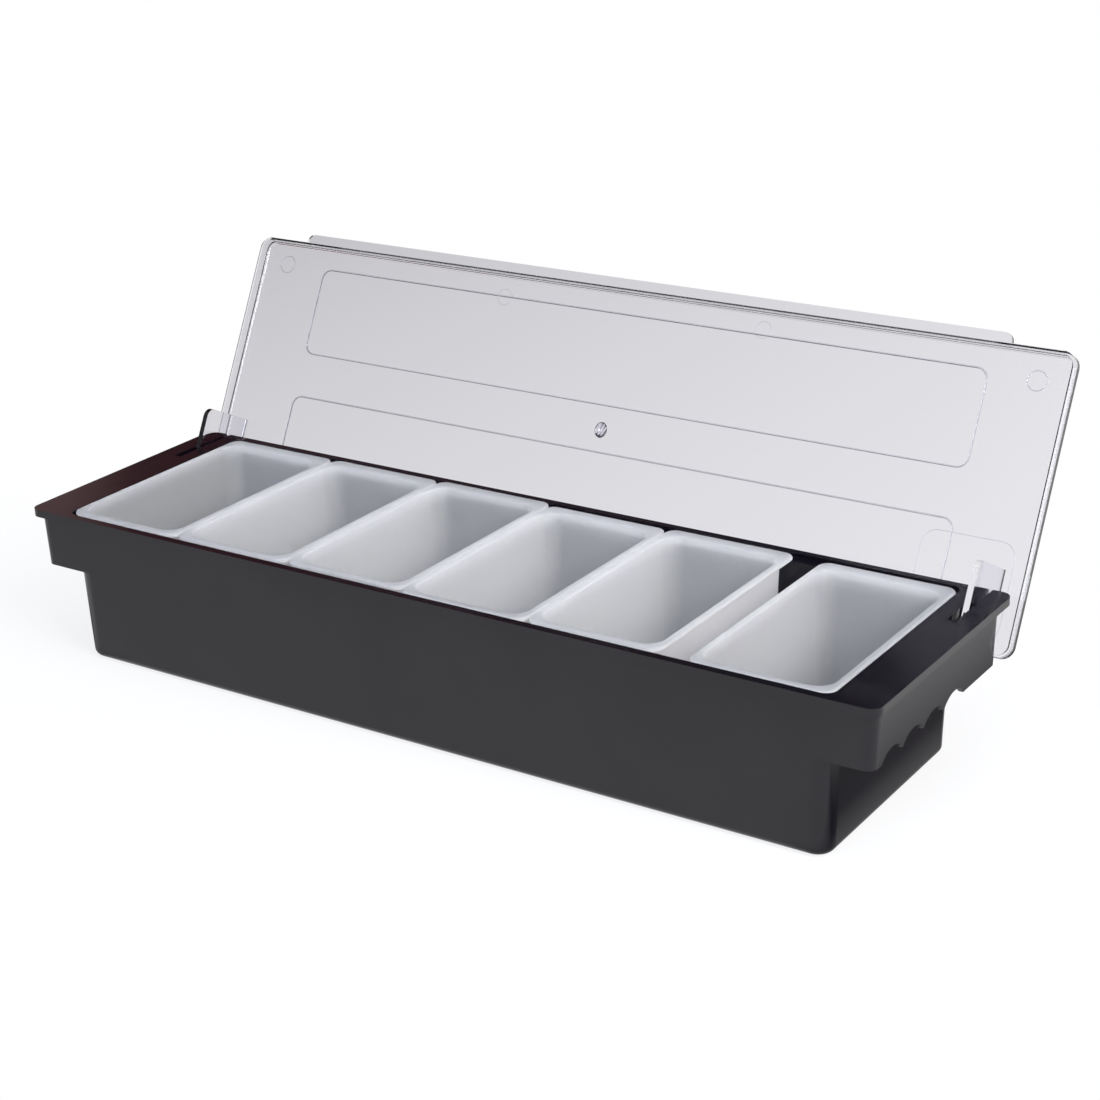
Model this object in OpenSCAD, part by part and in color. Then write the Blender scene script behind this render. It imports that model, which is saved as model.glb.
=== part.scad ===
// Six-tub condiment caddy with one hinged clear lid.
// Millimetres. +X runs along the length, +Y to the hinge side, +Z up.
// The origin is the centre of the tray's underside, which stands on the table.
// The lid is drawn wide open, the pose in which the caddy is filled and served from.

/* [Tray] */
// Length of the top flange
tray_l = 500; // [440:1:600]
// Front-to-back width of the top flange
tray_w = 147; // [130:1:176]
// Height of the flange's top face above the table
tray_h = 83; // [72:1:100]
// Thickness of the flange
flange_t = 4; // [3.5:0.1:5]
// Corner radius of the flange
flange_r = 6; // [4:0.5:8]
// Thickness of the moulded walls
wall_t = 2.5; // [2:0.1:3.5]
// Thickness of the floor
floor_t = 2.5; // [2:0.1:4]
// Overhang of the flange past the front wall
front_lap = 3.5; // [3.3:0.1:6]
// Overhang of the flange past the box's end walls, where the hands go
end_lap = 23; // [21.5:0.5:24]
// How far every wall leans in between flange and table
draft = 3; // [1:0.25:4]
// Radius of the box's upright corners at the table
box_r = 9; // [8:0.5:12]
// Radius round the foot of the box
foot_r = 4.5; // [2:0.5:5]
// Depth of the sunken seat for the tub rims
seat_d = 2; // [1.2:0.1:2.2]
// Flange left in front of the seat
seat_front = 4.5; // [4:0.1:4.8]
// Flange left behind the seat
seat_rear = 4.3; // [3.5:0.1:6]
// Flange left between the seat and each end
seat_end = 23.75; // [22:0.25:24]

/* [Handles] */
// Depth of the end skirts below the flange's top face
skirt_h = 32.5; // [30:0.5:40]
// Overhang of the flange past the skirt's end face
skirt_lap = 2.5; // [2:0.25:3]
// Smallest radius inside the skirts' upright corners
skirt_r = 1; // [0.5:0.25:5]
// Number of finger arches in the lower edge of each skirt
arch_n = 4; // [2:1:5]
// Distance of the row of arches from the front edge of the flange
arch_front = 12.7; // [11:0.1:30]
// Distance of the row of arches from the rear edge of the flange
arch_rear = 47.1; // [45:0.1:60]
// Flat left between two arches
arch_gap = 1; // [0.6:0.1:3]
// Height of the arches
arch_h = 5; // [3:0.5:5.5]

/* [Tubs] */
// Number of tubs
tub_n = 6; // [6:1:6]
// Gap left between the last two tubs
spare = 15.3; // [2:0.1:60]
// How far a tub can slide front to back in its seat
tub_slack = 3.2; // [0.4:0.1:6]
// Gap between a tub's walls and the well where they come closest
body_gap = 0.7; // [0.6:0.1:2]
// Thickness of the tub walls
tub_t = 1.8; // [1.4:0.1:2.2]
// Thickness of the tub floor
tub_floor_t = 2.2; // [1.5:0.1:3]
// Thickness of the rim
rim_t = 2.2; // [1.8:0.1:3]
// Corner radius of the rim
rim_r = 6; // [4:0.5:8]
// Radius of the tub's upright corners under the rim
tub_r = 11; // [10:0.5:14]
// How far every tub wall leans in between rim and foot
tub_draft = 3; // [2:0.25:3.5]
// Radius round the foot of a tub
tub_foot_r = 5; // [3:0.5:5]
// Radius of the rounded mouth inside the rim
mouth_r = 1.25; // [0.75:0.25:1.5]
// Gap between two neighbouring rims
tub_gap = 0.3; // [0.3:0.05:0.6]
// Gap between the outer rims and the ends of the seat
seat_gap = 0.5; // [0.3:0.05:0.8]
// Gap under rim and foot of a tub where they rest
rest_gap = 0.3; // [0.2:0.05:0.4]
// Where each tub sits in its front-to-back play: 0 is the front, 1 the rear
tub_play = [0.6, 0.75, 0.97, 0.03, 0.55, 0.05];

/* [Lid] */
// Thickness of the lid's panel
lid_t = 2.2; // [1.8:0.1:2.5]
// Thickness of the lid's turned-down lip
lip_t = 1.4; // [1.2:0.1:2.2]
// Gap between the flange's edge and the lip round it
lip_gap = 0.35; // [0.3:0.05:0.6]
// How far the closed lid's lip reaches below the flange's top face
lip_drop = 0; // [0:0.1:1]
// Corner radius of the lid
lid_r = 7; // [6.5:0.5:9]
// Radius along the lid's top edge
lid_edge_r = 1.2; // [0.5:0.1:1.6]
// Radius inside the lid, between panel and lip
lip_fillet = 2; // [1:0.25:3]
// How far the front finger ledge sticks out
ledge_d = 5; // [4:0.5:8]
// Length of the lid's lip left bare at each end of the finger ledge
ledge_in = 33.5; // [25:0.5:60]
// Thickness of the finger ledge
ledge_t = 2.2; // [1.6:0.1:3]
// Corner radius of the finger ledge
ledge_r = 4.5; // [3:0.5:6]
// Distance of the two sunken label panels from the lid's ends
label_end = 44.75; // [20:0.25:100]
// Distance of the rear label panel from the lid's rear edge
label_rear = 12; // [10:0.5:25]
// Distance of the front label panel from the lid's front edge
label_front = 13; // [10:0.5:25]
// Distance between the two label panels
label_gap = 25.5; // [10:0.5:40]
// Depth of the label panels
label_d = 0.5; // [0.3:0.1:0.8]
// Corner radius of the label panels
label_r = 6; // [4:0.5:12]

/* [Hinge] */
// Angle through which the lid opens, until its rear lip stops at the rear wall
lid_open = 117.5; // [100:0.5:118]
// Gap left between the rear lip and the rear wall when the lid is open
stop_gap = 0.35; // [0.35:0.05:1]
// Distance of the hinge line in front of the flange's rear edge
pin_in = 12.7; // [12:0.1:14]
// Depth of the hinge line below the flange's top face
pin_down = 12.3; // [11.5:0.1:13]
// Distance of each hinge web from the end of the flange
web_in = 12.8; // [11:0.1:14]
// Thickness of the hinge webs
web_t = 3; // [2.4:0.1:3.2]
// Length of a web along the lid, from the lid's rear edge
web_l = 42.5; // [38:0.5:44]
// Depth of a web below the top of the closed lid
web_d = 38; // [30:0.5:38]
// Corner radius of a web
web_r = 5; // [3:0.5:7]
// Radius of the web's rear lower corner
web_heel_r = 14; // [8:1:16]
// Gap on each side of a web in its slot
web_gap = 0.6; // [0.3:0.1:1]
// Diameter of the hinge pins
pin_d = 6; // [5:0.5:7]
// Running clearance on the hinge pin's radius
pin_fit = 0.06; // [0.02:0.01:0.1]
// Thickness of the bearing cheeks
cheek_t = 2.6; // [2:0.1:3]
// Wall round the hinge pin in a cheek
cheek_wall = 1.6; // [1.4:0.1:1.8]
// Width of the snap mouth under each bearing
snap_w = 4.8; // [4:0.1:4.9]
// Gap between the swinging lid and the flange's rear edge
swing_gap = 0.45; // [0.35:0.05:1]

/* [Hidden] */
eps = 0.01;
ink = "#2b2a2e";
opal = "#d5d9e2";
clear = [0.86, 0.86, 0.9, 0.45];

// How much larger a foot's arc is than one that only touches wall and floor
arc_ease = 1.004;
// How far a mouth's arc is set into wall and rim, so that it cuts both cleanly
mouth_ease = 0.15;

// The foot of the open lid's rear lip, as seen from the hinge line
box_h = tray_h - flange_t;
lean = draft / box_h;
lip_swing = norm([pin_in + lip_gap + lip_t, pin_down - lip_drop]);
lip_turn = atan2(pin_down - lip_drop, pin_in + lip_gap + lip_t) - lid_open;
lip_lean = lean * (pin_down - flange_t - lip_swing * sin(lip_turn));

// Tray box under the flange: its rear wall stands just clear of that lip
rear_lap = ceil(10 * (stop_gap + pin_in - lip_swing * cos(lip_turn) - lip_lean)) / 10;
box_x = tray_l / 2 - end_lap;
box_y = (tray_w - front_lap - rear_lap) / 2;
flange_y = (rear_lap - front_lap) / 2;
flange_front = flange_y - tray_w / 2;
flange_rear = flange_y + tray_w / 2;

// Skirts round the hand holds
skirt_z = tray_h - skirt_h;
skirt_x = tray_l / 2 - skirt_lap;
skirt_top_r = skirt_r + wall_t + draft;
arch_pitch = (tray_w - arch_front - arch_rear) / arch_n;
arch_chord = arch_pitch - arch_gap;
arch_r = (arch_chord * arch_chord / 4 + arch_h * arch_h) / (2 * arch_h);

// Well for the tubs and seat for their rims
well_x = box_x - wall_t;
well_y = box_y - wall_t;
seat_x = tray_l / 2 - seat_end;
seat_y0 = flange_front + seat_front;
seat_y1 = flange_rear - seat_rear;
seat_z = tray_h - seat_d;

// Tubs: all but the last stand rim to rim from the left, the last is at the right.
// Rim and foot come to rest together, the rim on the seat and the foot on the floor.
rims_x = seat_x - seat_gap;
tub_l = (2 * rims_x - spare - (tub_n - 2) * tub_gap) / tub_n;
tub_w = seat_y1 - seat_y0 - tub_slack - 2 * tub_gap;
tub_h = seat_z + rim_t - floor_t;
tub_z = floor_t + rest_gap;
tub_pitch = tub_l + tub_gap;
rim_front = -well_y - seat_y0 + body_gap - tub_gap;
rim_rear = seat_y1 - well_y + body_gap - tub_gap;
rim_side = seat_x - well_x + body_gap - seat_gap;
function tub_x(i) = i < tub_n - 1 ? -rims_x + tub_l / 2 + i * tub_pitch : rims_x - tub_l / 2;
function tub_y(i) = seat_y0 + tub_gap + tub_w / 2 + tub_play[i] * tub_slack;

// Hinge line and the closed lid
pin_y = flange_rear - pin_in;
pin_z = tray_h - pin_down;
edge_swing = ceil(100 * norm([pin_in, pin_down])) / 100;
lid_in_z = pin_z + edge_swing + swing_gap;
lid_top = lid_in_z + lid_t;
lid_h = lid_top - tray_h + lip_drop;
lid_x = tray_l / 2 + lip_gap + lip_t;
lid_y = tray_w / 2 + lip_gap + lip_t;
lid_rear = flange_y + lid_y;
label_l = 2 * (lid_x - label_end);
label_w = (2 * lid_y - label_rear - label_front - label_gap) / 2;
web_x = tray_l / 2 - web_in;
slot_w = web_t + 2 * web_gap;
web_front = lid_rear - web_l;
web_foot = lid_top - web_d;

// Reach of the web's front corner as it swings under the flange
web_corner = norm([pin_y - web_front - web_r, pin_z - web_foot - web_r]) + web_r;
slot_rise = pin_down - flange_t;
slot_y = pin_y - sqrt(web_corner * web_corner - slot_rise * slot_rise) - web_gap;

// Rectangle with round corners
module round_rect(l, w, r) {
    square([l - 2 * r, w], center = true);
    square([l, w - 2 * r], center = true);
    for (sx = [-1, 1], sy = [-1, 1])
        translate([sx * (l / 2 - r), sy * (w / 2 - r)]) circle(r, $fn = 48);
}

// Upright section through one wall of a drafted box: r0 at the foot, r1 at the top.
// The foot is rounded, and its arc meets wall and floor at a slight angle.
module wall_section(r0, r1, h, foot) {
    a = atan((r1 - r0) / h);
    xc = r0 - foot * (1 - sin(a)) / cos(a);
    difference() {
        polygon([[0, 0], [r0, 0], [r1, h], [0, h]]);
        difference() {
            translate([xc, -foot]) square(2 * foot);
            translate([xc, foot]) circle(arc_ease * foot, $fn = 48);
        }
    }
}

// Drafted box with round corners, its section given by the child.
// cx and cy are the distances from the middle to the corner axes.
module drafted_box(cx, cy, h) {
    for (k = [0 : 3])
        translate([k % 3 == 0 ? cx : -cx, k < 2 ? cy : -cy, 0]) rotate(90 * k)
            rotate_extrude(angle = 90, $fn = 64) children();
    rotate([90, 0, 90]) bar(cy, cx, h) children();
    rotate([90, 0, 0]) bar(cx, cy, h) children();
}

module bar(half, run, h) {
    linear_extrude(2 * run, center = true) {
        translate([half, 0]) children();
        mirror([1, 0]) translate([half, 0]) children();
        translate([-half, 0]) square([2 * half, h]);
    }
}

// Box whose half sizes x and y and corner radius are given at the top
module tapered_box(x, y, h, r_top, taper, foot) {
    drafted_box(x - r_top, y - r_top, h) wall_section(r_top - taper, r_top, h, foot);
}

module hinge_slots() {
    for (s = [-1, 1]) {
        // through the flange, open to its rear edge
        translate([s * web_x - slot_w / 2, slot_y, tray_h - flange_t - 1])
            cube([slot_w, flange_rear - slot_y + 1, flange_t + 2]);
        // through the skirt's rear wall, open below, so that the web can hang in it
        translate([s * web_x - slot_w / 2, pin_y - pin_in, skirt_z - 1])
            cube([slot_w, flange_rear - pin_y + pin_in, box_h - skirt_z + 2]);
    }
}

// Two cheeks hang from the flange at each web, with a bearing open below
module hinge_cheeks() {
    boss_r = pin_d / 2 + pin_fit + cheek_wall;
    for (s = [-1, 1], k = [-1, 1]) {
        x = s * web_x + k * (slot_w + cheek_t) / 2;
        translate([x, pin_y, pin_z]) {
            rotate([0, 90, 0]) cylinder(h = cheek_t, r = boss_r, center = true, $fn = 48);
            translate([-cheek_t / 2, -boss_r, 0])
                cube([cheek_t, 2 * boss_r, pin_down - flange_t + eps]);
        }
    }
}

module hinge_bearings() {
    span = slot_w + 2 * cheek_t + 2;
    for (s = [-1, 1]) translate([s * web_x, pin_y, pin_z]) {
        rotate([0, 90, 0]) cylinder(h = span, r = pin_d / 2 + pin_fit, center = true, $fn = 48);
        translate([-span / 2, -snap_w / 2, -skirt_h]) cube([span, snap_w, skirt_h]);
    }
}

module finger_arches() {
    for (i = [0 : arch_n - 1]) {
        y = flange_front + arch_front + (i + 0.5) * arch_pitch;
        translate([0, y, skirt_z + arch_h - arch_r]) rotate([0, 90, 0])
            cylinder(h = tray_l, r = arch_r, center = true, $fn = 64);
    }
}

module tray_box() tapered_box(box_x, box_y, box_h, box_r + draft, draft, foot_r);

// The skirts' outline, as far down as the table
module skirt_form(inset) {
    r = skirt_top_r - inset;
    drafted_box(skirt_x - skirt_top_r, box_y - skirt_top_r, box_h)
        polygon([[0, 0], [r - draft, 0], [r, box_h], [0, box_h]]);
}

module skirts() difference() {
    skirt_form(0);
    skirt_form(wall_t);
    translate([-tray_l, -tray_w, -1]) cube([2 * tray_l, 2 * tray_w, skirt_z + 1]);
    finger_arches();
}

module base_tray() color(ink) difference() {
    union() {
        translate([0, flange_y, tray_h - flange_t])
            linear_extrude(flange_t) round_rect(tray_l, tray_w, flange_r);
        skirts();
        tray_box();
        hinge_cheeks();
    }
    // well for the tubs
    translate([0, 0, floor_t])
        tapered_box(well_x, well_y, tray_h - floor_t + 1, box_r + draft - wall_t,
            lean * (tray_h - floor_t + 1), foot_r - 1);
    // seat for the rims
    translate([0, (seat_y0 + seat_y1) / 2, seat_z])
        linear_extrude(seat_d + 1) round_rect(2 * seat_x, seat_y1 - seat_y0, rim_r);
    hinge_slots();
    hinge_bearings();
}

// Section of the tub's hollow, flaring into the rounded mouth
module mouth_section(r0, r1, h, foot) {
    x = r1 + mouth_r - mouth_ease;
    z = h - mouth_r + mouth_ease;
    wall_section(r0, r1, h, foot);
    difference() {
        translate([0, z]) square([x, mouth_r + 1]);
        translate([x, z]) circle(mouth_r, $fn = 48);
    }
}

module tub(i) color(opal) translate([tub_x(i), tub_y(i), tub_z]) {
    x = tub_l / 2 - rim_side;
    y = (tub_w - rim_front - rim_rear) / 2;
    body_y = (rim_front - rim_rear) / 2;
    h = tub_h - rim_t;
    in_h = tub_h - tub_floor_t;
    in_r = tub_r - tub_t;
    difference() {
        union() {
            translate([0, body_y, 0])
                tapered_box(x, y, h + eps, tub_r, tub_draft, tub_foot_r);
            // rim with a round edge
            translate([0, 0, h])
                drafted_box(tub_l / 2 - rim_r, tub_w / 2 - rim_r, rim_t) {
                    square([rim_r - rim_t / 2, rim_t]);
                    translate([rim_r - rim_t / 2, rim_t / 2]) circle(rim_t / 2, $fn = 24);
                }
        }
        translate([0, body_y, tub_floor_t])
            drafted_box(x - tub_t - in_r, y - tub_t - in_r, in_h + 1)
                mouth_section(in_r - tub_draft, in_r, in_h, tub_foot_r - 1);
    }
}

// Web in the plane of swing: corners rounded, the heel rounded more
module web() {
    y0 = web_front;
    y1 = lid_rear - lip_t / 2;
    z0 = web_foot;
    z1 = lid_in_z + lid_t / 2;
    heel = web_heel_r;
    rotate([90, 0, 90]) linear_extrude(web_t, center = true) {
        translate([y0 + web_r, z0]) square([y1 - y0 - web_r - heel, z1 - z0]);
        translate([y0, z0 + web_r]) square([web_r + eps, z1 - z0 - web_r]);
        translate([y1 - heel - eps, z0 + heel]) square([heel + eps, z1 - z0 - heel]);
        translate([y0 + web_r, z0 + web_r]) circle(web_r, $fn = 48);
        translate([y1 - heel, z0 + heel]) circle(heel, $fn = 64);
    }
}

module hinge_pins() {
    for (s = [-1, 1]) translate([s * web_x, pin_y, pin_z]) rotate([0, 90, 0])
        cylinder(h = slot_w + 2 * cheek_t, d = pin_d, center = true, $fn = 48);
}

// The lid as it lies when closed
module lid_closed() {
    difference() {
        union() {
            translate([0, flange_y, lid_top]) mirror([0, 0, 1])
                tapered_box(lid_x, lid_y, lid_h, lid_r, 0, lid_edge_r);
            // finger ledge along the foot of the front lip
            translate([0, flange_y - lid_y - ledge_d / 2 + ledge_r / 2, lid_top - lid_h])
                linear_extrude(ledge_t)
                    round_rect(2 * (lid_x - ledge_in), ledge_d + ledge_r, ledge_r);
        }
        translate([0, flange_y, lid_in_z]) mirror([0, 0, 1])
            tapered_box(lid_x - lip_t, lid_y - lip_t, lid_h, lid_r - lip_t, 0, lip_fillet);
        for (k = [0, 1])
            translate([0, lid_rear - label_rear - label_w / 2 - k * (label_w + label_gap),
                lid_top - label_d])
                linear_extrude(label_d + 1) round_rect(label_l, label_w, label_r);
    }
    for (s = [-1, 1]) translate([s * web_x, 0, 0]) web();
    hinge_pins();
}

module lid() color(clear)
    translate([0, pin_y, pin_z]) rotate([-lid_open, 0, 0]) translate([0, -pin_y, -pin_z])
        lid_closed();

base_tray();
lid();
tub(0);  // tub_1
tub(1);  // tub_2
tub(2);  // tub_3
tub(3);  // tub_4
tub(4);  // tub_5
tub(5);  // tub_6
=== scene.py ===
# %% [markdown]
# # A bar caddy: black tray, six opal tubs, one clear lid
#
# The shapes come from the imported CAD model. This script gives them their plastics, adds
# what the mould left on the lid, puts everything on a white studio floor and looks at it
# through the lens of the photograph. Every length is in metres and every point is in the
# model's own frame: X along the tray, Y towards the hinge, Z up from the table.

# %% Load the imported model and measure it
import math

import bmesh
import bpy
from mathutils import Matrix, Vector


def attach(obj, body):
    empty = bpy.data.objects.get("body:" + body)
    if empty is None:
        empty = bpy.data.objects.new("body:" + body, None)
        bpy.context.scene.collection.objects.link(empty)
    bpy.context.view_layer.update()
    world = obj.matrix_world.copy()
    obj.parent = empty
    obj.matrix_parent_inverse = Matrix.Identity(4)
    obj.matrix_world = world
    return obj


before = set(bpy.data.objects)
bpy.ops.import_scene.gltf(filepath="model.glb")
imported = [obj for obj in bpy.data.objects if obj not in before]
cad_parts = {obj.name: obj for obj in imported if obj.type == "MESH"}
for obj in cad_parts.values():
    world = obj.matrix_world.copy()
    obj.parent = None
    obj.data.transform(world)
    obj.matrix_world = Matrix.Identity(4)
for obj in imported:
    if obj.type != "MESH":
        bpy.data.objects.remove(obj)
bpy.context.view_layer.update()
MM = 0.001
print("nodes:", ", ".join(sorted(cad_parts)))

# %% [markdown]
# ## Three small helpers
#
# Colours are easiest to compare with a photograph as sRGB hex values, but a shader
# wants linear light. The first helper turns one into the other. The second adds a node,
# gives it its settings and joins up its inputs, so that each material below reads as a
# short list of what feeds what. The third starts an empty material.

# %% Colour, node and material helpers
def linear(hex_colour, alpha=1.0):
    """An sRGB hex value such as "#38373C" as linear red, green, blue and alpha."""
    parts = [int(hex_colour.lstrip("#")[i:i + 2], 16) / 255 for i in (0, 2, 4)]
    out = [c / 12.92 if c <= 0.04045 else ((c + 0.055) / 1.055) ** 2.4 for c in parts]
    return (*out, alpha)


def add(tree, kind, settings=None, **inputs):
    """Adds a node, sets its settings, and fills each input with a value or a link.

    Base__Color stands for the input "Base Color", and _1 for the input number 1.
    """
    node = tree.nodes.new(kind)
    for name, value in (settings or {}).items():
        setattr(node, name, value)
    for name, value in inputs.items():
        socket = node.inputs[int(name[1:]) if name[0] == "_" else name.replace("__", " ")]
        if isinstance(value, bpy.types.NodeSocket):
            tree.links.new(value, socket)
        else:
            socket.default_value = value
    return node


def new_material(name):
    """A material whose node tree is still empty."""
    material = bpy.data.materials.new(name)
    material.use_nodes = True
    material.node_tree.nodes.clear()
    return material, material.node_tree


print("mid grey is", round(linear("#808080")[0], 4), "in linear light")

# %% [markdown]
# ## Black ABS
#
# The tray is one moulding in black ABS, dyed through. The mould was polished on the
# show faces, so the plastic has a deep, slightly wavy gloss: dark where it mirrors the
# room, paler where it mirrors the white table. Two things keep it from looking like
# painted glass: a very fine orange-peel skin, and soft cloudy patches a few centimetres
# wide where the melt flowed and cooled unevenly, which change the gloss. Noise textures
# in the object's own coordinates make both, since they need no unwrapping and their
# scales can be given as real sizes.

# %% The tray's plastic
ABS_IOR = 1.47
CLOUDS_PER_METRE = 16.0  # flow clouds, about 60 mm across
PEEL_PER_METRE = 650.0  # really 0.5 to 1 mm wide, drawn at about 1.5 mm so that it shows
SCUFFS_PER_METRE = (18.0, 900.0, 900.0)  # about 55 mm long and 1 mm wide, along the tray


def moulded_abs():
    material, tree = new_material("black_abs_moulded")
    where = add(tree, "ShaderNodeTexCoord").outputs["Object"]
    clouds = add(tree, "ShaderNodeTexNoise", Vector=where, Scale=CLOUDS_PER_METRE,
                 Detail=3.0, Roughness=0.55).outputs["Fac"]
    peel = add(tree, "ShaderNodeTexNoise", Vector=where, Scale=PEEL_PER_METRE,
               Detail=2.0, Roughness=0.5).outputs["Fac"]
    # Handling marks: only the highest streaks of a stretched noise
    along = add(tree, "ShaderNodeMapping", Vector=where, Scale=SCUFFS_PER_METRE)
    marks = add(tree, "ShaderNodeTexNoise", Vector=along.outputs["Vector"], Scale=1.0,
                Detail=2.0, Roughness=0.6).outputs["Fac"]
    scuffs = add(tree, "ShaderNodeMapRange", Value=marks, From__Min=0.62,
                 From__Max=0.74).outputs["Result"]
    patchy = add(tree, "ShaderNodeMapRange", Value=clouds, From__Min=0.35,
                 From__Max=0.68).outputs["Result"]
    gloss = add(tree, "ShaderNodeMapRange", Value=patchy, To__Min=0.08, To__Max=0.14)
    rough = add(tree, "ShaderNodeMath", {"operation": "MULTIPLY_ADD"}, _0=scuffs, _1=0.06,
                _2=gloss.outputs["Result"])
    # The dye: near black, a touch warmer and paler in the clouds
    dye = add(tree, "ShaderNodeMix", {"data_type": "RGBA"}, _0=patchy,
              _6=linear("#0A0810"), _7=linear("#130F16"))
    bump_fine = add(tree, "ShaderNodeBump", Strength=0.12, Distance=0.02 * MM, Height=peel)
    bump = add(tree, "ShaderNodeBump", Strength=0.3, Distance=0.4 * MM, Height=clouds,
               Normal=bump_fine.outputs["Normal"])
    shader = add(tree, "ShaderNodeBsdfPrincipled", Base__Color=dye.outputs[2],
                 Roughness=rough.outputs["Value"], Normal=bump.outputs["Normal"],
                 IOR=ABS_IOR)
    add(tree, "ShaderNodeOutputMaterial", Surface=shader.outputs["BSDF"])
    return material


black_abs = moulded_abs()
print("made", black_abs.name)

# %% [markdown]
# ## Opal polypropylene
#
# The tubs are natural polypropylene with a little white in it. A wall is only 1.8 mm
# thick, and part of the light goes through it: a wall with another white tub behind it
# is bright, and one against the black tray is grey. Subsurface scattering alone loses
# that light, because it turns into a plain diffuse surface after the first bounce. So a
# translucent shader carries the light through any number of walls, and the subsurface
# scattering only softens rims and inside corners. The skin is satin, with the long,
# faint streaks of the flowing melt.

# %% The tubs' plastic
POLYPROPYLENE_IOR = 1.49
STREAKS_PER_METRE = (220.0, 220.0, 40.0)  # 4.5 mm wide, 25 mm long, down the walls
GRAIN_PER_METRE = 1000.0  # a satin grain of about 1 mm
WALL_SCATTER = 2 * MM  # about as deep as a wall is thick
THROUGH_WALL = 0.72  # share of the light that goes through


def opal_polypropylene():
    material, tree = new_material("opal_polypropylene_moulded")
    where = add(tree, "ShaderNodeTexCoord").outputs["Object"]
    stretch = add(tree, "ShaderNodeMapping", Vector=where, Scale=STREAKS_PER_METRE)
    streaks = add(tree, "ShaderNodeTexNoise", Vector=stretch.outputs["Vector"], Scale=1.0,
                  Detail=3.0, Roughness=0.5).outputs["Fac"]
    grain = add(tree, "ShaderNodeTexNoise", Vector=where, Scale=GRAIN_PER_METRE,
                Detail=2.0).outputs["Fac"]
    milk = add(tree, "ShaderNodeMix", {"data_type": "RGBA"}, _0=streaks,
               _6=linear("#E6E7EA"), _7=linear("#ECECED"))
    satin = add(tree, "ShaderNodeMapRange", Value=streaks, To__Min=0.3, To__Max=0.42)
    bump = add(tree, "ShaderNodeBump", Strength=0.15, Distance=0.02 * MM, Height=grain)
    shader = add(tree, "ShaderNodeBsdfPrincipled", Base__Color=milk.outputs[2],
                 Roughness=satin.outputs["Result"], Normal=bump.outputs["Normal"],
                 IOR=POLYPROPYLENE_IOR, Subsurface__Weight=1.0,
                 Subsurface__Radius=(1.0, 1.0, 1.1), Subsurface__Scale=WALL_SCATTER)
    glow = add(tree, "ShaderNodeBsdfTranslucent", Color=linear("#FCFCFC"),
               Normal=bump.outputs["Normal"])
    wall = add(tree, "ShaderNodeMixShader", _0=THROUGH_WALL, _1=shader.outputs["BSDF"],
               _2=glow.outputs["BSDF"])
    add(tree, "ShaderNodeOutputMaterial", Surface=wall.outputs["Shader"])
    return material


opal_pp = opal_polypropylene()
print("made", opal_pp.name)

# %% [markdown]
# ## Clear styrene acrylonitrile
#
# The lid is clear SAN, the usual plastic of refrigerator boxes: hard, glossy, with a
# slight grey cast. Its IOR of about 1.57 is what draws the dark and bright lines along
# every edge, web and label panel. The panel is not perfectly flat, which bends what is
# seen through it a little, so it has a very shallow, wide bump.
#
# A path tracer finds no lamp through a refracting wall and would leave a hard black
# shadow. Light Path tells a shadow ray, which the lid lets through tinted.

# %% The lid's plastic
SAN_IOR = 1.57
WAVES_PER_METRE = 14.0  # the panel's waves, about 70 mm across
HAZE_PER_METRE = 60.0  # patches of finer and duller polish, about 17 mm across


def clear_san(name, smooth, hazy):
    material, tree = new_material(name)
    where = add(tree, "ShaderNodeTexCoord").outputs["Object"]
    waves = add(tree, "ShaderNodeTexNoise", Vector=where, Scale=WAVES_PER_METRE,
                Detail=1.0).outputs["Fac"]
    haze = add(tree, "ShaderNodeTexNoise", Vector=where, Scale=HAZE_PER_METRE,
               Detail=3.0).outputs["Fac"]
    polish = add(tree, "ShaderNodeMapRange", Value=haze, To__Min=smooth, To__Max=hazy)
    bump = add(tree, "ShaderNodeBump", Strength=0.25, Distance=0.15 * MM, Height=waves)
    shader = add(tree, "ShaderNodeBsdfPrincipled", Roughness=polish.outputs["Result"],
                 Normal=bump.outputs["Normal"], Base__Color=linear("#F0EFF4"),
                 IOR=SAN_IOR, Transmission__Weight=1.0)
    passing = add(tree, "ShaderNodeBsdfTransparent", Color=linear("#DAD9E0"))
    shadow_ray = add(tree, "ShaderNodeLightPath").outputs["Is Shadow Ray"]
    either = add(tree, "ShaderNodeMixShader", _0=shadow_ray, _1=shader.outputs["BSDF"],
                 _2=passing.outputs["BSDF"])
    add(tree, "ShaderNodeOutputMaterial", Surface=either.outputs["Shader"])
    return material


clear_lid = clear_san("clear_san_moulded", smooth=0.03, hazy=0.07)
frosted_gate = clear_san("clear_san_torn_gate", smooth=0.1, hazy=0.2)
print("made", clear_lid.name, "and", frosted_gate.name)

# %% [markdown]
# ## Dress the CAD nodes
#
# The mouldings are already modelled with their walls, rims and draft, so the CAD shapes
# stay as they are and each node's object only gets its new material.

# %% Give every node its plastic
for name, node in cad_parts.items():
    plastic = {"base_tray": black_abs, "lid": clear_lid}.get(name, opal_pp)
    node.data.materials.clear()
    node.data.materials.append(plastic)
    print(name, "->", plastic.name)

# %% [markdown]
# ## What the mould left on the lid
#
# On clear plastic the small marks of the mould are what the eye catches first. They are
# too fine for the CAD model, and a bump map would leave no shape behind in the exported
# meshes, so each one is a thin mesh of the lid's own plastic. All of them are drawn on
# the closed lid, where they are easy to place by their distance from its rear edge, and
# are then turned open about the hinge.

# %% The lid's own places
HINGE = Vector((0, 62.95 * MM, 70.7 * MM))
OPENING = math.radians(117.5)
LID_TOP, LID_INSIDE, LID_REAR = 91.04 * MM, 88.84 * MM, 77.4 * MM
opened = (Matrix.Translation(HINGE) @ Matrix.Rotation(-OPENING, 4, "X")
          @ Matrix.Translation(-HINGE))


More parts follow.
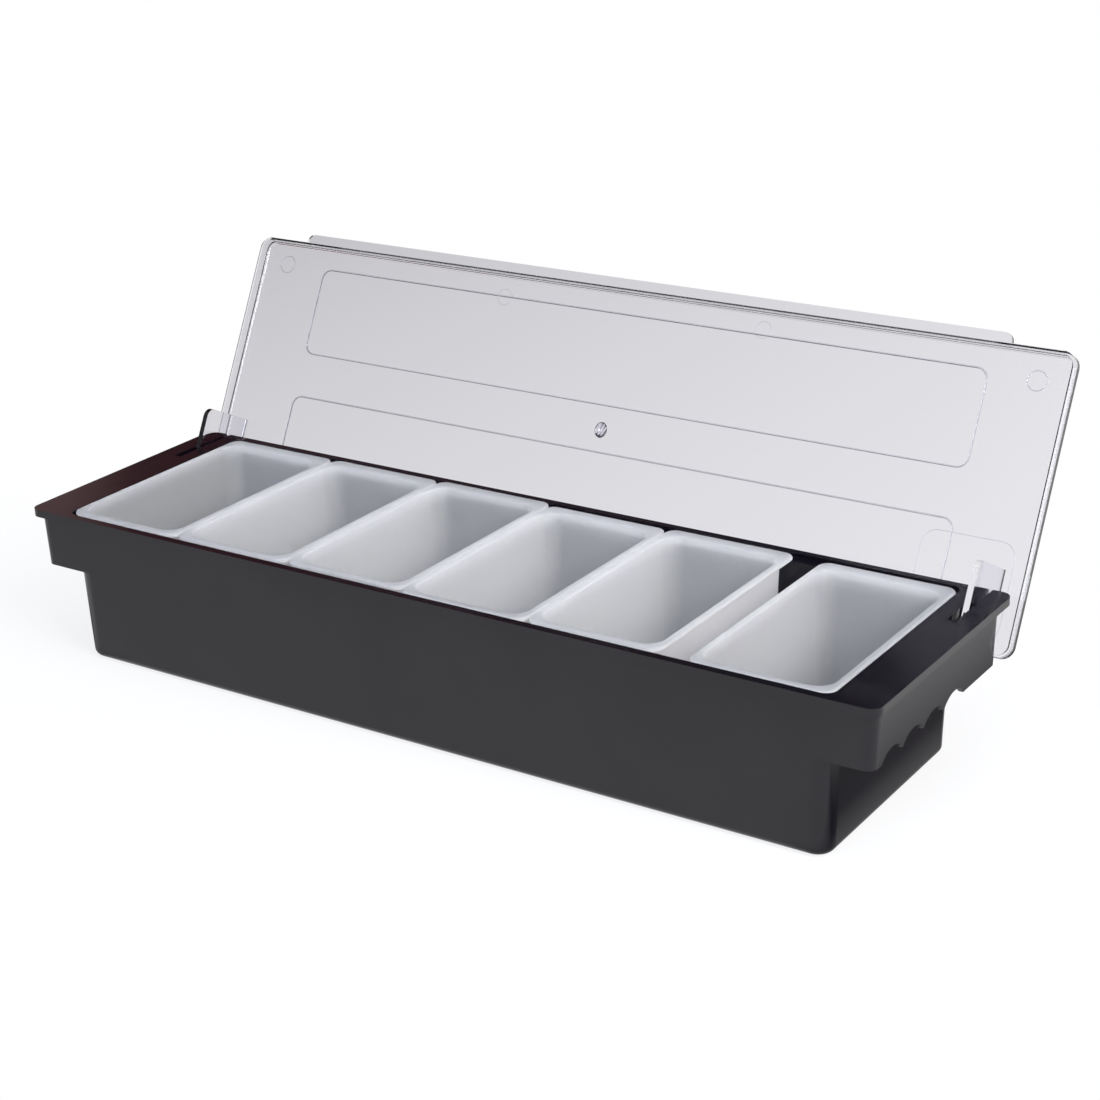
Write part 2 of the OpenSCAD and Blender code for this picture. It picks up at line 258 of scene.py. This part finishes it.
def on_lid(name, mesh_maker, material):
    """Builds a mesh in the closed lid's place, turns it open and rides it on the lid."""
    shape = bmesh.new()
    mesh_maker(shape)
    bmesh.ops.recalc_face_normals(shape, faces=shape.faces)
    for face in shape.faces:
        face.smooth = True
    mesh = bpy.data.meshes.new(name)
    shape.to_mesh(mesh)
    shape.free()
    mesh.transform(opened)
    mesh.materials.append(material)
    piece = bpy.data.objects.new(name, mesh)
    bpy.context.scene.collection.objects.link(piece)
    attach(piece, "lid")
    print(name, len(mesh.polygons), "faces")


# %% [markdown]
# ## A thin bead along a closed outline
#
# Panel edges, pin rings and the outline of a mould insert are all fine lines that close
# on themselves. A curve with a bevel could draw them too, but a mesh swept by hand ends
# as clean quads that close without a seam. One function gives the outline, from a
# rounded rectangle to a circle, and another sweeps a round section along it.

# %% Outline and bead
def rounded_outline(cx, cy, z, length, width, radius, steps=10):
    """Points round a rectangle with rounded corners, or round a circle."""
    points = []
    for k, (sx, sy) in enumerate(((1, 1), (-1, 1), (-1, -1), (1, -1))):
        for i in range(steps + 1):
            turn = math.radians(90 * k + 90 * i / steps)
            x = cx + sx * (length / 2 - radius) + radius * math.cos(turn)
            y = cy + sy * (width / 2 - radius) + radius * math.sin(turn)
            points.append(Vector((x, y, z)))
    return points


def bead_round(points, radius, sides=10):
    """A round bead swept along a closed level outline."""
    up = Vector((0, 0, 1))
    turns = [2 * math.pi * j / sides for j in range(sides)]

    def build(shape):
        rings = []
        # The corners of a circle meet in the same point, which is kept once
        path = [q for i, q in enumerate(points) if (q - points[i - 1]).length > 1e-7]
        for i, point in enumerate(path):
            along = (path[(i + 1) % len(path)] - path[i - 1]).normalized()
            out = along.cross(up)
            rings.append([shape.verts.new(
                point + radius * (out * math.cos(turn) + up * math.sin(turn)))
                for turn in turns])
        for i, ring in enumerate(rings):
            last = rings[i - 1]
            for j in range(sides):
                shape.faces.new((last[j - 1], last[j], ring[j], ring[j - 1]))
    return build


print("a circle has", len(rounded_outline(0, 0, 0, 2, 2, 1)), "points, corners twice")

# %% [markdown]
# ## Edges of the label panels
#
# Two long panels are sunk half a millimetre into the lid's outer face, to take labels.
# A moulded edge is always a little rounded and works as a thin lens, which shows as a
# fine line round the panel. Here a bead along the CAD model's sharp step is that lens.

# %% Rounded edges of the two label panels
LABEL_LENGTH, LABEL_WIDTH, LABEL_RADIUS = 414 * MM, 50 * MM, 6 * MM
EDGE_RADIUS, EDGE_SUNK = 0.45 * MM, 0.15 * MM
for name, from_rear in (("lid_label_edge_upper", 112.5), ("lid_label_edge_lower", 37)):
    edge = rounded_outline(0, LID_REAR - from_rear * MM, LID_TOP - EDGE_SUNK,
                           LABEL_LENGTH, LABEL_WIDTH, LABEL_RADIUS)
    on_lid(name, bead_round(edge, EDGE_RADIUS), clear_lid)

# %% [markdown]
# ## Ejector rings and the outline of an insert
#
# Pins push the cooled lid out of the mould, and each leaves a fine ring on its inner
# face. The two at the upper corners were pressed deeper than the two between them. The
# right web was formed by a separate insert, whose outline stands a hair proud in the
# same way. The places were read off the photograph.

# %% Ejector rings
for name, x, from_rear, across, thick in (
        ("lid_ejector_ring_left", -233.5, 137, 10, 0.22),
        ("lid_ejector_ring_right", 232.8, 135.1, 10, 0.22),
        ("lid_ejector_ring_mid_left", -78.8, 137, 9, 0.1),
        ("lid_ejector_ring_mid_right", 82, 140, 9, 0.1)):
    circle = rounded_outline(x * MM, LID_REAR - from_rear * MM, LID_INSIDE,
                             across * MM, across * MM, across / 2 * MM)
    on_lid(name, bead_round(circle, thick * MM), clear_lid)

# %% Outline of the right web's insert
INSERT_X, INSERT_FROM_REAR = 217.5 * MM, 31 * MM
INSERT_WIDTH, INSERT_RADIUS, INSERT_BEAD = 49 * MM, 8 * MM, 0.12 * MM
insert = rounded_outline(INSERT_X, LID_REAR - INSERT_FROM_REAR, LID_INSIDE,
                         INSERT_WIDTH, INSERT_WIDTH, INSERT_RADIUS)
on_lid("lid_insert_line_right", bead_round(insert, INSERT_BEAD), clear_lid)

# %% [markdown]
# ## The torn gate
#
# The melt entered the mould through one gate in the middle of the lid, between the
# panels. The sprue was torn off there and left a frosted oval with slanting streaks.
# Rings of points round an oval make a low boss, and a sine wave across it breaks its
# top into ridges. Its plastic is the lid's own, only rougher.

# %% The torn gate between the panels
GATE_FROM_REAR, GATE_HALF_X, GATE_HALF_Y = 74 * MM, 3.7 * MM, 4.3 * MM
GATE_HEIGHT, RIDGE_HEIGHT = 0.4 * MM, 0.3 * MM
GATE_SUNK, GATE_FOOT = 0.05 * MM, 0.1 * MM


def gate_height(x, y, reach):
    """Height of the boss at a point, where reach goes from 0 in the middle to 1."""
    ridge = RIDGE_HEIGHT * math.sin((x * 1.2 + y * 0.5) / MM * 2.9)
    return (GATE_HEIGHT + ridge) * math.sqrt(max(0.0, 1 - reach ** 6))


def torn_gate(shape):
    """A low oval boss whose top is broken into slanting ridges."""
    rings, steps = 14, 56
    middle = Vector((0, LID_REAR - GATE_FROM_REAR, LID_TOP - GATE_SUNK))
    grid = []
    for r in range(1, rings + 1):
        row = []
        for i in range(steps):
            turn = 2 * math.pi * i / steps
            reach = r / rings
            x = GATE_HALF_X * reach * math.cos(turn)
            y = GATE_HALF_Y * reach * math.sin(turn)
            row.append(shape.verts.new(middle + Vector((x, y, gate_height(x, y, reach)))))
        grid.append(row)
    top = shape.verts.new(middle + Vector((0, 0, GATE_HEIGHT)))
    foot = [shape.verts.new(v.co - Vector((0, 0, GATE_FOOT))) for v in grid[-1]]
    base = shape.verts.new(middle - Vector((0, 0, GATE_FOOT)))
    for i in range(steps):
        shape.faces.new((grid[0][i - 1], grid[0][i], top))
        for r in range(1, rings):
            inner, outer = grid[r - 1], grid[r]
            shape.faces.new((outer[i - 1], outer[i], inner[i], inner[i - 1]))
        shape.faces.new((foot[i - 1], foot[i], grid[-1][i], grid[-1][i - 1]))
        shape.faces.new((foot[i], foot[i - 1], base))


on_lid("lid_torn_gate", torn_gate, frosted_gate)

# %% [markdown]
# ## The studio floor
#
# The caddy stands on a plain white floor. Near it the floor is ordinary white paint and
# carries the soft shadow. Further out it fades into pure white. A stronger lamp would
# make it white too, but would also bleach the tubs, so the white is light that only the
# camera, gloss and the clear lid see, told apart by Light Path.

# %% Which rays see the background
def sees_background(tree):
    """1 for rays from the camera, off gloss and through the clear lid, otherwise 0."""
    path = add(tree, "ShaderNodeLightPath")
    first = add(tree, "ShaderNodeMath", {"operation": "MAXIMUM"},
                _0=path.outputs["Is Camera Ray"], _1=path.outputs["Is Glossy Ray"])
    both = add(tree, "ShaderNodeMath", {"operation": "MAXIMUM"},
               _0=first.outputs["Value"], _1=path.outputs["Is Transmission Ray"])
    return both.outputs["Value"]


# %% Where the white takes over from the paint
PAINT_NEAR, PAINT_FAR = 0.12, 0.3  # half depths of the oval round the caddy
WHITE_TO_CAMERA, WHITE_TO_LID = 0.8, 0.92  # close to the caddy


def white_share(tree, where, through, glossy):
    """How much of the floor is pure white, for the rays that see it."""
    # Distance from the caddy, as an oval twice as long as it is deep
    oval = add(tree, "ShaderNodeVectorMath", {"operation": "MULTIPLY"}, _0=where,
               _1=(0.5, 1.0, 0.0))
    distance = add(tree, "ShaderNodeVectorMath", {"operation": "LENGTH"},
                   _0=oval.outputs["Vector"])
    # The camera sees a fifth of the paint, the lid hardly any, and gloss none
    nearest = add(tree, "ShaderNodeMix", _0=through, _2=WHITE_TO_CAMERA, _3=WHITE_TO_LID)
    far = add(tree, "ShaderNodeMapRange", {"interpolation_type": "SMOOTHSTEP"},
              Value=distance.outputs["Value"], From__Min=PAINT_NEAR, From__Max=PAINT_FAR,
              To__Min=nearest.outputs[0], To__Max=1.0)
    shown = add(tree, "ShaderNodeMath", {"operation": "MAXIMUM"},
                _0=far.outputs["Result"], _1=glossy)
    fade = add(tree, "ShaderNodeMath", {"operation": "MULTIPLY"},
               _0=shown.outputs["Value"], _1=sees_background(tree))
    return fade.outputs["Value"]


# %% [markdown]
# ## What gloss and lid show of the floor
#
# The white that shows in gloss or through the lid is painted greyer at the left, as
# painted shade of light from the right. Beside the tray's two ends a band of painted shade
# lowers it further. The gloss of the ends mirrors that band, which makes the ends much
# darker than the long front. Both are worked out from the place on the floor, never
# from where the camera stands, so they hold in every view.

# %% How bright the white is
# Painted shade: the floor's white is lowered beside the tray's two ends, where gloss sees
# it
SHADE = 0.12  # level of the shade beside the ends
SHADE_BEGINS, SHADE_FULL = 0.2, 0.24  # distances along X from the caddy's middle
SHADE_FADES, SHADE_ENDS = 0.25, 0.34
GREY_X, WHITE_X = -0.8, 0.2  # the floor pales from the first place to the second
GREY_LEVEL, WHITE_LEVEL = 0.64, 0.98


def painted_shade_beside_ends(tree, place):
    """Low beside the two ends of the tray, 1 elsewhere and everywhere in front."""
    # Painted shade in the white that gloss sees, lowest just beside the ends
    sideways = add(tree, "ShaderNodeMath", {"operation": "ABSOLUTE"},
                   _0=place.outputs["X"]).outputs["Value"]
    into_shade = add(tree, "ShaderNodeMapRange", Value=sideways, From__Min=SHADE_BEGINS,
                     From__Max=SHADE_FULL, To__Min=1.0, To__Max=SHADE)
    out_of_shade = add(tree, "ShaderNodeMapRange", {"interpolation_type": "SMOOTHSTEP"},
                       Value=sideways, From__Min=SHADE_FADES, From__Max=SHADE_ENDS,
                       To__Min=SHADE, To__Max=1.0)
    endways = add(tree, "ShaderNodeMath", {"operation": "MAXIMUM"},
                  _0=into_shade.outputs["Result"], _1=out_of_shade.outputs["Result"])
    in_front = add(tree, "ShaderNodeMapRange", Value=place.outputs["Y"],
                   From__Min=-0.05, From__Max=-0.075)
    shade = add(tree, "ShaderNodeMath", {"operation": "MAXIMUM"},
                _0=endways.outputs["Value"], _1=in_front.outputs["Result"])
    return shade.outputs["Value"]


def white_level(tree, where, through, glossy):
    """Strength of the white: 1 for the camera, less for gloss and lid."""
    place = add(tree, "ShaderNodeSeparateXYZ", Vector=where)
    # Painted shade: the white that gloss and lid see is greyer towards the left, as if lit
    # from the right
    painted_falloff = add(tree, "ShaderNodeMapRange", Value=place.outputs["X"],
                  From__Min=GREY_X, From__Max=WHITE_X, To__Min=GREY_LEVEL,
                  To__Max=WHITE_LEVEL).outputs["Result"]
    # Painted shade: the leftward greying times the painted shade beside the ends
    mirrored = add(tree, "ShaderNodeMath", {"operation": "MULTIPLY"},
                   _0=painted_falloff, _1=painted_shade_beside_ends(tree, place))
    in_air = add(tree, "ShaderNodeMix", _0=glossy, _2=1.0, _3=mirrored.outputs["Value"])
    # A ray through the lid counts as glossy too, so the lid's answer comes last
    level = add(tree, "ShaderNodeMix", _0=through, _2=in_air.outputs[0], _3=painted_falloff)
    return level.outputs[0]


# %% Lay the floor
FLOOR_HALF, FLOOR_DROP = 6.0, 0.2 * MM


def studio_floor():
    material, tree = new_material("white_studio_floor")
    where = add(tree, "ShaderNodeTexCoord").outputs["Object"]
    path = add(tree, "ShaderNodeLightPath")
    through, glossy = path.outputs["Is Transmission Ray"], path.outputs["Is Glossy Ray"]
    paint = add(tree, "ShaderNodeBsdfDiffuse", Color=linear("#F4F4F6"))
    white = add(tree, "ShaderNodeEmission", Color=(1, 1, 1, 1),
                Strength=white_level(tree, where, through, glossy))
    mixed = add(tree, "ShaderNodeMixShader", _0=white_share(tree, where, through, glossy),
                _1=paint.outputs["BSDF"], _2=white.outputs["Emission"])
    add(tree, "ShaderNodeOutputMaterial", Surface=mixed.outputs["Shader"])
    mesh = bpy.data.meshes.new("studio_floor")
    h = FLOOR_HALF
    mesh.from_pydata([(-h, -h, 0), (h, -h, 0), (h, h, 0), (-h, h, 0)], [], [(0, 1, 2, 3)])
    mesh.materials.append(material)
    floor = bpy.data.objects.new("studio_floor", mesh)
    floor.location.z = -FLOOR_DROP
    bpy.context.scene.collection.objects.link(floor)


studio_floor()
print("laid a floor", 2 * FLOOR_HALF, "metres wide")

# %% [markdown]
# ## The studio room
#
# Plastic and glass are drawn by what stands round them. The room is white round the
# horizon, which shows in the upright faces and through the lid. Overhead it is grey in
# front and dark at the back, which the polished flange mirrors and the lid's edges bend
# into view as fine lines. At the left of the back a warm wall puts its brown sheen on
# the left end of the flange. As with the floor, only camera, gloss and lid see all this,
# and the surfaces themselves are lit by one even, slightly blue level.

# %% Room
# Places in the room are given by the direction in which they lie, of length 1
HORIZON_TOP = 0.12
WARM_BEGINS, WARM_FULL = -0.42, -0.62  # towards the left, along X
PALE_BEGINS, PALE_FULL = -0.664, -0.684
AMBIENT = 0.46


def ceiling_colour(tree, towards):
    """Grey in front, dark behind, and warm behind at the left, paler further left."""
    leftward = add(tree, "ShaderNodeMapRange", Value=towards.outputs["X"],
                   From__Min=WARM_BEGINS, From__Max=WARM_FULL)
    far_left = add(tree, "ShaderNodeMapRange", Value=towards.outputs["X"],
                   From__Min=PALE_BEGINS, From__Max=PALE_FULL)
    warm_wall = add(tree, "ShaderNodeMix", {"data_type": "RGBA"},
                    _0=far_left.outputs["Result"], _6=linear("#5E3531"),
                    _7=linear("#A88684"))
    behind = add(tree, "ShaderNodeMix", {"data_type": "RGBA"},
                 _0=leftward.outputs["Result"], _6=linear("#302D2E"),
                 _7=warm_wall.outputs[2])
    backward = add(tree, "ShaderNodeMapRange", Value=towards.outputs["Y"],
                   From__Min=-0.3, From__Max=0.2)
    ceiling = add(tree, "ShaderNodeMix", {"data_type": "RGBA"},
                  _0=backward.outputs["Result"], _6=linear("#9B9CA3"),
                  _7=behind.outputs[2])
    return ceiling.outputs[2]


def studio_room():
    """A world that lights the caddy evenly and shows a white horizon, dark at the back."""
    world = bpy.data.worlds.new("studio_room")
    world.use_nodes = True
    tree = world.node_tree
    tree.nodes.clear()
    where = add(tree, "ShaderNodeTexCoord").outputs["Generated"]
    towards = add(tree, "ShaderNodeSeparateXYZ", Vector=where)
    upward = add(tree, "ShaderNodeMapRange", {"interpolation_type": "SMOOTHSTEP"},
                 Value=towards.outputs["Z"], From__Min=0.0, From__Max=HORIZON_TOP)
    shown = add(tree, "ShaderNodeMix", {"data_type": "RGBA"},
                _0=upward.outputs["Result"], _6=(1, 1, 1, 1),
                _7=ceiling_colour(tree, towards))
    # The camera itself sees nothing but white
    path = add(tree, "ShaderNodeLightPath")
    seen = add(tree, "ShaderNodeMix", {"data_type": "RGBA"},
               _0=path.outputs["Is Camera Ray"], _6=shown.outputs[2], _7=(1, 1, 1, 1))
    seen_room = add(tree, "ShaderNodeBackground", Color=seen.outputs[2], Strength=1.0)
    room = add(tree, "ShaderNodeBackground", Color=linear("#DEE7FA"), Strength=AMBIENT)
    mixed = add(tree, "ShaderNodeMixShader", _0=sees_background(tree),
                _1=room.outputs["Background"], _2=seen_room.outputs["Background"])
    add(tree, "ShaderNodeOutputWorld", Surface=mixed.outputs["Shader"])
    bpy.context.scene.world = world


studio_room()
bpy.context.scene.view_settings.view_transform = "Standard"
print("the room lights the caddy at a level of", AMBIENT)

# %% [markdown]
# ## Soft light
#
# Three large softboxes do the work. One hangs overhead and one high at the right, which
# makes the left walls of the tubs brighter than their rear walls, as in the photograph.
# A third in front lifts the tray's long front out of black. Area lamps are used because
# their size sets how soft the shadows are, as with real softboxes.

# %% Softboxes
def softbox(name, place, target, width, height, watts, tint):
    """Hangs a rectangular lamp at a place and aims it at the target."""
    lamp = bpy.data.lights.new(name, "AREA")
    lamp.color = linear(tint)[:3]
    lamp.shape = "RECTANGLE"
    lamp.size, lamp.size_y, lamp.energy = width, height, watts
    holder = bpy.data.objects.new(name, lamp)
    holder.location = place
    aim = Vector(target) - Vector(place)
    holder.rotation_euler = aim.to_track_quat("-Z", "Y").to_euler()
    bpy.context.scene.collection.objects.link(holder)
    print(name, watts, "W")


TRAY_FOOT, TRAY_MIDDLE = (0, 0, 0), (0, 0, 0.05)
softbox("overhead_softbox", (0.2, -0.2, 1.9), TRAY_FOOT, 1.6, 1.2, 11, "#EEF3FF")
softbox("right_softbox", (1.5, -0.45, 1.25), TRAY_MIDDLE, 1.0, 1.0, 34, "#FFFEFB")
softbox("front_fill", (0.3, -1.9, 1.3), TRAY_MIDDLE, 1.2, 0.8, 21, "#E9F0FF")

# %% [markdown]
# ## The camera
#
# Its place, direction and lens come from fitting the tray's measured edges to the
# photograph: the camera stands to the right of the front, looks down by 21.7 degrees,
# and is rolled a little. The lens has the field of view of a 75 mm lens on full frame.
# The fit gives the focal length in pixels, and sensor and lens turn that to millimetres.

# %% Camera at the photograph's viewing angle
CAMERA_PLACE = (0.624867, -0.871861, 0.507855)
AZIMUTH, ELEVATION, ROLL = (math.radians(a) for a in (33.9696, 21.6669, -1.72))
SENSOR_MM, FOCAL_PIXELS, PHOTO_PIXELS = 36.0, 2290.25, 1100

ahead = Vector((-math.sin(AZIMUTH) * math.cos(ELEVATION),
                math.cos(AZIMUTH) * math.cos(ELEVATION), -math.sin(ELEVATION)))
level = Vector((math.cos(AZIMUTH), math.sin(AZIMUTH), 0))
above = level.cross(ahead)
to_right = level * math.cos(ROLL) + above * math.sin(ROLL)
to_top = above * math.cos(ROLL) - level * math.sin(ROLL)
lens = bpy.data.cameras.new("photo_lens")
lens.sensor_width = SENSOR_MM
lens.lens = SENSOR_MM * FOCAL_PIXELS / PHOTO_PIXELS
lens.clip_start, lens.clip_end = 0.01, 50
camera = bpy.data.objects.new("photo_camera", lens)
turn = Matrix((to_right, to_top, -ahead)).transposed().to_4x4()
camera.matrix_world = Matrix.Translation(CAMERA_PLACE) @ turn
bpy.context.scene.collection.objects.link(camera)
bpy.context.scene.camera = camera
print("lens", round(lens.lens, 2), "mm")
